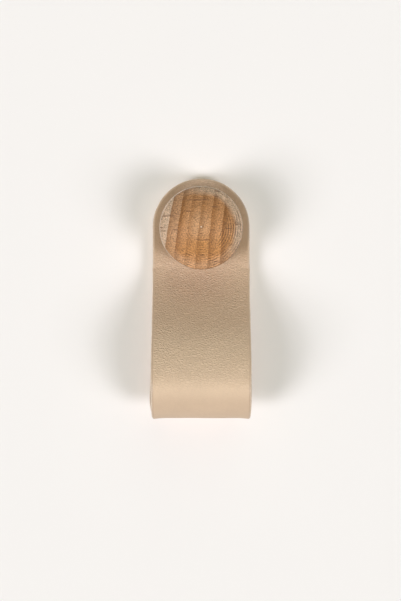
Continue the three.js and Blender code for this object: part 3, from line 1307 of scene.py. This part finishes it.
@dataclass
class FoldedStrap:
    """The leather strap: cut flat with round ends, folded along its line, thickened and punched."""

    width: float = 30.0 * MM
    edge_radius: float = 0.6 * MM
    edge_steps: int = 3
    edge_angle: float = math.radians(60)  # an edge that turns more than this is rounded
    hole: float = 4.5 * MM
    hole_sides: int = 64
    edge_curl: float = 0.35 * MM
    curl_band: float = 4.5 * MM
    sideways_slip: float = -0.9 * MM  # of the rear of the fold
    slip_peak: float = 9.0 * MM  # along the strap, before the fold's lowest point
    unevenness: float = 0.07 * MM
    lump: float = 9 * MM
    ragged: float = 0.05 * MM
    rag: float = 7 * MM
    rag_apart: float = 0.05  # keeps the two edges' raggedness unlike
    mesh_step: float = 0.75 * MM
    coarser_across: float = 1.25
    end_steps: int = 64
    pale_shift: float = 4.0 * MM  # of the pale belly, towards the front leaf
    smooth_to: float = 50.0  # degrees
    line: FoldLine = field(default_factory=FoldLine)

    def build(self, effects: SharedEffects) -> Workpiece:
        """Makes the strap.

        Args:
            effects: the shared node groups.

        Returns:
            The finished piece.
        """
        strap = self._cut_flat()
        self._map_flat(strap)
        self._relax(strap)
        self._fold(strap)
        self._thicken(strap)
        strap.cut(self._punch())
        strap.smooth(self.smooth_to)
        self._dress(strap, effects)
        return strap

    def _cut_flat(self) -> Workpiece:
        """The strip on the bench, grain up, along X, with its two round ends swept round.

        Returns:
            The strip, which has no thickness yet.
        """
        length = self.line.lengths()[-1]
        half = self.width / 2
        straight = length - self.width
        bpy.ops.mesh.primitive_grid_add(
            x_subdivisions=round(straight / self.mesh_step),
            y_subdivisions=2 * round(half / (self.coarser_across * self.mesh_step)),
            size=1.0,
            location=(length / 2, 0.0, 0.0),
        )
        strap = Workpiece("leather_strap")
        strap.body.scale = (straight, self.width, 1.0)
        strap.settle()
        for centre, turn in ((half, -math.pi), (length - half, math.pi)):
            with strap.editing():
                strap.pick(Element.VERT, lambda at, c=centre: abs(at.x - c) < NEAR and at.y > -NEAR)
                bpy.ops.mesh.spin(steps=self.end_steps, angle=turn, center=(centre, 0, 0), axis=(0, 0, 1))
        strap.make_sound()
        return strap

    @staticmethod
    def _map_flat(strap: Workpiece) -> None:
        """Keeps each point's place on the flat strip, across and along in metres, as a UV map.

        Args:
            strap: the flat strip.
        """
        flat = strap.mesh.uv_layers.new(name=FLAT_MAP)
        for loop in strap.mesh.loops:
            at = strap.mesh.vertices[loop.vertex_index].co
            flat.data[loop.index].uv = (-at.y, at.x)

    def _relax(self, strap: Workpiece) -> None:
        """Gives the flat strip what the fold and the tanning leave in it.

        Its edges curl outwards where it bends, the rear of the fold slips sideways, and its faces and
        cut edges are a little uneven.

        Args:
            strap: the flat strip.
        """
        lengths, bends = self.line.lengths(), self.line.bends()
        knots = self.line.knot_lengths()
        peak = knots[2] - self.slip_peak
        half = self.width / 2
        for vertex in strap.mesh.vertices:
            along, across = vertex.co.x, vertex.co.y
            bend = between(lengths, bends, along) * self.line.radius
            in_band = max(0.0, abs(across) - (half - self.curl_band)) / self.curl_band
            curl = self.edge_curl * bend * abs(bend) * in_band**2
            lump = noise.noise(Vector((along, across, 0.0)) / self.lump)
            rag = noise.noise(Vector((along, math.copysign(self.rag_apart, across), 0.0)) / self.rag)
            leave = smoothstep((along - knots[1]) / (peak - knots[1]))
            arrive = smoothstep((along - peak) / (knots[2] - peak))
            vertex.co.z += curl + self.unevenness * lump
            vertex.co.y += self.ragged * rag * abs(across) / half - self.sideways_slip * (leave - arrive)

    def _fold(self, strap: Workpiece) -> None:
        """Stands the strip on its edge and bends it along the fold line.

        Args:
            strap: the strip.
        """
        strap.settle(LAID_DOWN)
        line = self.line.curve()
        strap.apply("CURVE", object=line, deform_axis="POS_X")
        bpy.data.objects.remove(line)

    def _thicken(self, strap: Workpiece) -> None:
        """Gives the leather its thickness, rounds its edges and hangs it on the door.

        Args:
            strap: the folded strip.
        """
        for layer in Layer:
            strap.mesh.materials.append(bpy.data.materials.new(layer.name))
        strap.apply(
            "SOLIDIFY",
            thickness=self.line.thickness,
            offset=0.0,
            use_even_offset=True,
            use_quality_normals=True,
            material_offset=Layer.FLESH.value,
            material_offset_rim=Layer.CUT_EDGE.value,
        )
        strap.apply(
            "BEVEL",
            width=self.edge_radius,
            segments=self.edge_steps,
            limit_method="ANGLE",
            angle_limit=self.edge_angle,
            material=Layer.CUT_EDGE.value,
        )
        # The line's depth goes to the front, -Y, its height to Z, and the strip's width to X.
        strap.settle(Matrix(((0, 0, -1, 0), (-1, 0, 0, 0), (0, 1, 0, 0), (0, 0, 0, 1))))

    def _punch(self) -> Workpiece:
        """What the screw's hole is punched with.

        Returns:
            A round rod through both leaves.
        """
        reach = 3 * self.line.thickness
        punch = Workpiece.cylinder("hole_punch", self.hole / 2, -reach, reach, self.hole_sides)
        punch.settle(LAID_DOWN)
        return punch

    def _dress(self, strap: Workpiece, effects: SharedEffects) -> None:
        """Puts the leather's three surfaces on.

        Args:
            strap: the strap.
            effects: the shared node groups.
        """
        knots = self.line.knot_lengths()
        middle = (knots[1] + knots[3]) / 2 + self.pale_shift
        finishes = {
            Layer.GRAIN: GrainLeather().build(effects, (middle, knots[3] - middle)),
            Layer.FLESH: FleshLeather().build(effects),
            Layer.CUT_EDGE: BurnishedEdge().build(effects, self.line.lengths()[-1], self.width),
        }
        for layer, finish in finishes.items():
            strap.mesh.materials[layer.value] = finish


@dataclass
class TurnedKnob:
    """The beech knob: a slightly tapered drum with a rounded shoulder, a low crown and a blind bore."""

    radius: float = 12.5 * MM
    base_radius: float = 11.8 * MM
    height: float = 19.0 * MM
    shoulder: float = 2.2 * MM
    crown_radius: float = 20.0 * MM
    base_edge: float = 0.6 * MM
    base_edge_steps: int = 4
    bore_radius: float = 3.1 * MM
    bore_depth: float = 10.8 * MM
    centre_mark: float = 0.35 * MM
    mark_depth: float = 0.12 * MM
    base_depth: float = 5.6 * MM  # in front of the door
    sides: int = 144
    shoulder_steps: int = 10
    crown_steps: int = 14
    smooth_to: float = 35.0  # degrees

    def _shoulder_height(self) -> float:
        """Where the side ends and the shoulder starts.

        Returns:
            Its height over the base.
        """
        reach = self.radius - self.shoulder
        rise = math.sqrt((self.crown_radius - self.shoulder) ** 2 - reach**2)
        return self.height - self.crown_radius + rise

    def _outline(self) -> list[Vector]:
        """The rings over the shoulder and the crown, from the side inwards.

        Returns:
            The radius and height of each.
        """
        side = self._shoulder_height()
        reach = self.radius - self.shoulder
        centre = self.height - self.crown_radius
        end = math.atan2(side - centre, reach)
        rings = []
        for step in range(1, self.shoulder_steps + 1):
            angle = end * step / self.shoulder_steps
            out, up = self.shoulder * math.cos(angle), self.shoulder * math.sin(angle)
            rings.append(Vector((reach + out, side + up)))
        rim = rings[-1].x
        for step in range(1, self.crown_steps + 1):
            radius = rim + (self.centre_mark - rim) * step / self.crown_steps
            rings.append(Vector((radius, centre + math.sqrt(self.crown_radius**2 - radius**2))))
        return rings

    def build(self, effects: SharedEffects) -> Workpiece:
        """Makes the knob, with its base down, and lays it on the strap.

        Args:
            effects: the shared node groups.

        Returns:
            The finished piece.
        """
        side = self._shoulder_height()
        knob = Workpiece.cylinder("turned_knob", self.base_radius, 0.0, side, self.sides)
        with knob.editing():
            knob.pick(Element.FACE, lambda at: at.z > side - NEAR)
            widen = self.radius / self.base_radius
            bpy.ops.transform.resize(value=(widen, widen, 1.0))
            last = Vector((self.radius, side))
            for ring in self._outline():
                inward = (last.x - ring.x) * math.cos(math.pi / self.sides)
                bpy.ops.mesh.inset(thickness=inward, depth=ring.y - last.y, use_even_offset=True)
                last = ring
            bpy.ops.mesh.inset(thickness=self.centre_mark / 2, depth=-self.mark_depth)
            knob.pick(Element.EDGE, lambda at: at.z < NEAR and at.xy.length > self.base_radius * OUTER)
            bpy.ops.mesh.bevel(offset=self.base_edge, segments=self.base_edge_steps, affect="EDGES")
            knob.pick(Element.FACE, lambda at: at.z < NEAR and at.xy.length < NEAR)
            wall = self.base_radius - self.base_edge - self.bore_radius
            bpy.ops.mesh.inset(thickness=wall, depth=0.0)
            knob.grow(self.bore_depth)
        knob.make_sound()
        knob.settle(Matrix.Translation((0, -self.base_depth, 0)) @ LAID_DOWN)
        knob.finish(self.smooth_to, TurnedBeech().build(effects))
        return knob


@dataclass(frozen=True)
class ThreadForm:
    """A 60 degree thread of a metric screw, cut as a real helix."""

    radius: float = 1.97 * MM
    pitch: float = 0.7 * MM
    depth: float = 0.43 * MM
    crest: float = 0.09 * MM
    steps: int = 32
    smooth_to: float = 32.0  # degrees

    def rod(self, start: float, end: float, grow: float, name: str) -> Workpiece:
        """A threaded rod about the Z axis.

        Args:
            start: its lower end.
            end: its upper end.
            grow: how much wider it is all over, for a tap.
            name: the piece's name.

        Returns:
            The closed rod.
        """
        lead, spare = 2, 3  # turns below the rod, and turns more than its length takes
        turns = math.ceil((end - start) / self.pitch) + spare
        low = (math.floor(start / self.pitch) - lead) * self.pitch
        outer = self.radius + grow
        inner = outer - self.depth
        flank = (self.pitch - self.crest) / 2
        bpy.ops.mesh.primitive_plane_add(size=self.pitch)
        rod = Workpiece(name)
        tooth = [(inner, 0.0), (outer, flank), (inner, self.pitch), (outer, flank + self.crest)]
        for vertex, (radius, height) in zip(rod.mesh.vertices, tooth):
            vertex.co = (radius, 0.0, low + height)
        with rod.editing():
            rod.pick(Element.EDGE, lambda at: at.x < inner + NEAR)
            bpy.ops.mesh.delete(type="EDGE")
        rod.apply(
            "SCREW",
            axis="Z",
            angle=2 * math.pi,
            screw_offset=self.pitch,
            iterations=turns,
            steps=self.steps,
            render_steps=self.steps,
            use_merge_vertices=True,
            merge_threshold=MERGE,
        )
        rod.make_sound()
        with rod.editing():
            for height, normal in ((start, -1), (end, 1)):
                bpy.ops.mesh.select_all(action="SELECT")
                bpy.ops.mesh.bisect(
                    plane_co=(0, 0, height),
                    plane_no=(0, 0, normal),
                    use_fill=True,
                    clear_outer=True,
                    threshold=MERGE,  # the default, 0.1 mm, is wider than the crest and tears the ends
                )
        rod.make_sound()
        return rod


@dataclass
class MountingScrew:
    """The M4 pan head screw that comes from behind the door."""

    door: float = 18.0 * MM
    tip_depth: float = 12.0 * MM
    tip_waste: float = 0.6 * MM  # of the rod, past the tip
    head_overlap: float = 0.4 * MM  # of the rod with the head
    head_radius: float = 4.0 * MM
    head_height: float = 3.1 * MM
    head_round: float = 1.7 * MM
    head_round_steps: int = 8
    recess_span: float = 4.4 * MM
    recess_floor: float = 1.6 * MM
    recess_depth: float = 1.9 * MM
    recess_slot: float = 1.0 * MM
    sides: int = 96
    thread: ThreadForm = field(default_factory=ThreadForm)
    finish: PlainMetal = PlainMetal("bright_zinc", (0.60, 0.61, 0.62), 0.26)

    def build(self, effects: SharedEffects) -> Workpiece:
        """Makes the screw, about the Z axis with its head down, and lays it in its hole.

        Args:
            effects: the shared node groups.

        Returns:
            The finished piece.
        """
        start, end = -self.door - self.head_overlap, self.tip_depth + self.tip_waste
        screw = self.thread.rod(start, end, 0.0, "machine_screw")
        screw.cut(self._tip_cone(), "INTERSECT")
        head = self._head()
        for turned in (0.0, math.pi / 2):
            head.cut(self._recess(turned))
        screw.cut(head, "UNION")
        screw.make_sound()
        screw.settle(LAID_DOWN)
        screw.finish(self.thread.smooth_to, self.finish.build(effects))
        return screw

    def _tip_cone(self) -> Workpiece:
        """What the thread's tip is turned down to.

        Returns:
            A cylinder round the whole screw, with a cone of 45 degrees at its tip.
        """
        root = self.thread.radius - self.thread.depth
        base = self.tip_depth - (self.head_radius - root)
        lowest = -self.door - self.tip_depth
        cone = Workpiece.cylinder("tip_cone", self.head_radius, lowest, base, self.sides)
        with cone.editing():
            cone.pick(Element.FACE, lambda at: at.z > base - NEAR)
            cone.grow(self.tip_depth - base, root / self.head_radius)
        return cone

    def _head(self) -> Workpiece:
        """The pan head.

        Returns:
            A disc with a short rim and a domed back.
        """
        lowest = -self.door - self.head_height
        head = Workpiece.cylinder("screw_head", self.head_radius, lowest, -self.door, self.sides)
        with head.editing():
            rim = self.head_radius * OUTER
            head.pick(Element.EDGE, lambda at: at.z < lowest + NEAR and at.xy.length > rim)
            bpy.ops.mesh.bevel(offset=self.head_round, segments=self.head_round_steps, affect="EDGES")
        return head

    def _recess(self, turned: float) -> Workpiece:
        """One slot of the cross, wide at its mouth and narrow at its floor.

        Args:
            turned: how far it is turned about the screw's axis.

        Returns:
            The slot's cutter.
        """
        lowest = -self.door - self.head_height
        bpy.ops.mesh.primitive_cube_add(size=1.0)
        slot = Workpiece("recess_slot")
        outside = self.recess_depth / 2  # the cutter stands so far out of the head
        mouth = self.recess_span + (self.recess_span - self.recess_floor) * outside / self.recess_depth
        for vertex in slot.mesh.vertices:
            deep = vertex.co.z > 0
            span = self.recess_floor if deep else mouth
            height = lowest + self.recess_depth if deep else lowest - outside
            vertex.co = (vertex.co.x * span, vertex.co.y * self.recess_slot, height)
        slot.settle(Matrix.Rotation(turned, 4, "Z"))
        return slot


@dataclass
class ThreadedInsert:
    """The barbed brass sleeve in the knob's bore, tapped for the screw."""

    radius: float = 3.0 * MM
    length: float = 10.0 * MM
    start: float = 6.1 * MM  # in front of the door
    barbs: int = 4
    barb_depth: float = 0.45 * MM
    barb_land: float = 0.25  # straight share of each barb
    tap_room: float = 0.06 * MM
    tap_past: float = 1 * MM  # of the tap, past either end
    sides: int = 96
    thread: ThreadForm = field(default_factory=ThreadForm)
    finish: PlainMetal = PlainMetal("turned_brass", (0.78, 0.57, 0.22), 0.28)

    def build(self, effects: SharedEffects) -> Workpiece:
        """Makes the sleeve about the Z axis and lays it in the knob.

        Args:
            effects: the shared node groups.

        Returns:
            The finished piece.
        """
        pitch = self.length / self.barbs
        land = self.barb_land * pitch
        first = self.start + land
        sleeve = Workpiece.cylinder("brass_insert", self.radius, self.start, first, self.sides)
        shrink = 1 - self.barb_depth / self.radius
        with sleeve.editing():
            for barb in range(self.barbs):
                top = first + barb * pitch
                sleeve.pick(Element.FACE, lambda at, t=top: at.z > t - NEAR)
                sleeve.grow(pitch - land, shrink)
                if barb < self.barbs - 1:
                    sleeve.grow(0.0, 1 / shrink)
                    sleeve.grow(land)
        sleeve.make_sound()
        low, high = self.start - self.tap_past, self.start + self.length + self.tap_past
        sleeve.cut(self.thread.rod(low, high, self.tap_room, "tap"))
        sleeve.settle(LAID_DOWN)
        sleeve.finish(self.thread.smooth_to, self.finish.build(effects))
        return sleeve


@dataclass(frozen=True)
class SoftLamp:
    """A far, wide and even lamp, such as a large softbox: the way to it, and how wide it is."""

    name: str
    way: Triple
    strength: float
    degrees: float
    colour: Colour = (1.0, 1.0, 1.0)

    def build(self) -> None:
        """Hangs the lamp."""
        data = bpy.data.lights.new(self.name, "SUN")
        data.energy = self.strength
        data.angle = math.radians(self.degrees)
        data.color = self.colour
        lamp = bpy.data.objects.new(self.name, data)
        lamp.rotation_euler = Vector(self.way).to_track_quat("Z", "Y").to_euler()
        bpy.context.collection.objects.link(lamp)


@dataclass
class Studio:
    """The pale door front that the pull hangs on, the lamps, the surroundings and the camera."""

    middle_height: float = -21.8 * MM  # of the door front and of the camera

    door_gap: float = 0.3 * MM
    door_hole: float = 2.3 * MM
    hole_sides: int = 128
    door_reach: float = 165.0 * MM
    door_colour: Colour = (0.921, 0.890, 0.867)
    door_roughness: float = 0.75
    door_specular: float = 0.25
    door_lumps: float = 40 * MM
    door_tone: Pair = (0.994, 0.012)  # the darkest, and how much the lumps add

    cool: Colour = (1.015, 0.993, 1.055)
    soft: Colour = (0.96, 1.035, 0.845)
    air_colour: Colour = (0.945, 0.915, 0.875)
    fill_colour: Colour = (0.96, 1.03, 0.865)
    fill: float = 0.11

    camera_side: float = -0.2 * MM
    camera_away: float = -445.0 * MM
    focal_pixels: float = 1420.0
    sensor: float = 36.0
    nearest: float = 10 * MM

    def build(self) -> None:
        """Sets the whole scene up around the pull."""
        self._hang_door()
        self._light()
        self._surround()
        self._place_camera()
        bpy.context.scene.view_settings.view_transform = "Standard"

    def _hang_door(self) -> None:
        """A thin pale door front with a hole for the screw, seen from its front only."""
        bpy.ops.mesh.primitive_circle_add(
            vertices=self.hole_sides, radius=self.door_hole, fill_type="NOTHING"
        )
        door = Workpiece("door_front")
        door.settle(LAID_DOWN)
        reach = self.door_reach / self.door_hole
        with door.editing():
            door.pick(Element.EDGE, lambda at: True)
            bpy.ops.mesh.extrude_region_move()
            bpy.ops.transform.resize(value=(reach, 1.0, reach))
            bpy.ops.transform.translate(value=(0, 0, self.middle_height))
        door.settle(Matrix.Translation((0, self.door_gap, 0)))
        for face in door.mesh.polygons:
            if face.normal.y > 0:
                face.flip()
        door.mesh.materials.append(self._paint())

    def _paint(self) -> bpy.types.Material:
        """Pale matt paint that a camera behind the door sees through, and that lets its lamp through.

        Returns:
            The material.
        """
        board = MaterialBoard("door_paint")
        darkest, lumps = self.door_tone
        tone = board.plus(darkest, board.noise(board.object_place(), self.door_lumps), lumps)
        behind = board.add("ShaderNodeNewGeometry").outputs["Backfacing"]
        paths = board.add("ShaderNodeLightPath").outputs
        seen = board.times(behind, paths["Is Camera Ray"])
        lit = board.times(board.minus(1.0, behind), paths["Is Shadow Ray"])
        clear = board.add("ShaderNodeBsdfTransparent").outputs[0]
        shader = board.either(board.largest(seen, lit), board.surface.outputs[0], clear)
        board.feed(board.output.inputs["Surface"], shader)
        return board.dress({
            "Base Color": board.shade(self.door_colour, tone),
            "Roughness": self.door_roughness,
            "Specular IOR Level": self.door_specular,
        })

    def _light(self) -> None:
        """Wide soft lamps: two low at each side, one above, one in front, and one behind the door."""
        lamps = (
            SoftLamp("lamp_left", (-0.65, -1.0, -0.32), 0.82, 20, self.cool),
            SoftLamp("lamp_far_left", (-1.02, -1.0, -0.55), 0.80, 22, self.cool),
            SoftLamp("lamp_right", (0.65, -1.0, -0.42), 0.96, 20, self.cool),
            SoftLamp("lamp_far_right", (1.05, -1.0, -0.55), 0.44, 22, self.cool),
            SoftLamp("lamp_above", (0.25, -1.0, 1.00), 0.34, 50, self.soft),
            SoftLamp("lamp_front", (0.0, -1.0, -0.22), 0.34, 24, self.soft),
            SoftLamp("lamp_behind", (-0.35, 1.0, 0.45), 1.60, 40),
        )
        for lamp in lamps:
            lamp.build()

    def _surround(self) -> None:
        """An even pale surround that the camera and reflections see, and a plain fill light."""
        world = bpy.data.worlds.new("pale_room")
        world.use_nodes = True
        world.node_tree.nodes.clear()
        board = NodeBoard(world.node_tree)
        paths = board.add("ShaderNodeLightPath").outputs
        rays = (paths[f"Is {kind} Ray"] for kind in ("Camera", "Glossy", "Transmission"))
        lit = board.put("ShaderNodeBackground", {0: self.fill_colour, 1: self.fill}).outputs[0]
        shown = board.put("ShaderNodeBackground", {0: self.air_colour}).outputs[0]
        shader = board.either(board.largest(*rays), lit, shown)
        board.put("ShaderNodeOutputWorld", {"Surface": shader})
        bpy.context.scene.world = world

    def _place_camera(self) -> None:
        """The camera of the photograph: square on, a little below the knob."""
        data = bpy.data.cameras.new("portrait")
        data.sensor_width = self.sensor
        data.lens = self.focal_pixels * self.sensor / IMAGE_HEIGHT
        data.clip_start = self.nearest
        camera = bpy.data.objects.new("portrait", data)
        camera.location = (self.camera_side, self.camera_away, self.middle_height)
        camera.rotation_euler = Euler((math.pi / 2, 0.0, 0.0))
        bpy.context.collection.objects.link(camera)
        bpy.context.scene.camera = camera


def main() -> None:
    """Builds the pull around its frame, then the studio."""
    logging.basicConfig(level=logging.INFO, format="%(name)s: %(message)s")
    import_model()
    effects = SharedEffects()
    FoldedStrap().build(effects).hand_over("leather", "strap")
    TurnedKnob().build(effects).hand_over("beech", "wooden_knob")
    ThreadedInsert().build(effects).hand_over("brass", "threaded_insert")
    MountingScrew().build(effects).hand_over("zinc_plated_steel", "mounting_screw")
    Studio().build()


if __name__ == "__main__":
    main()
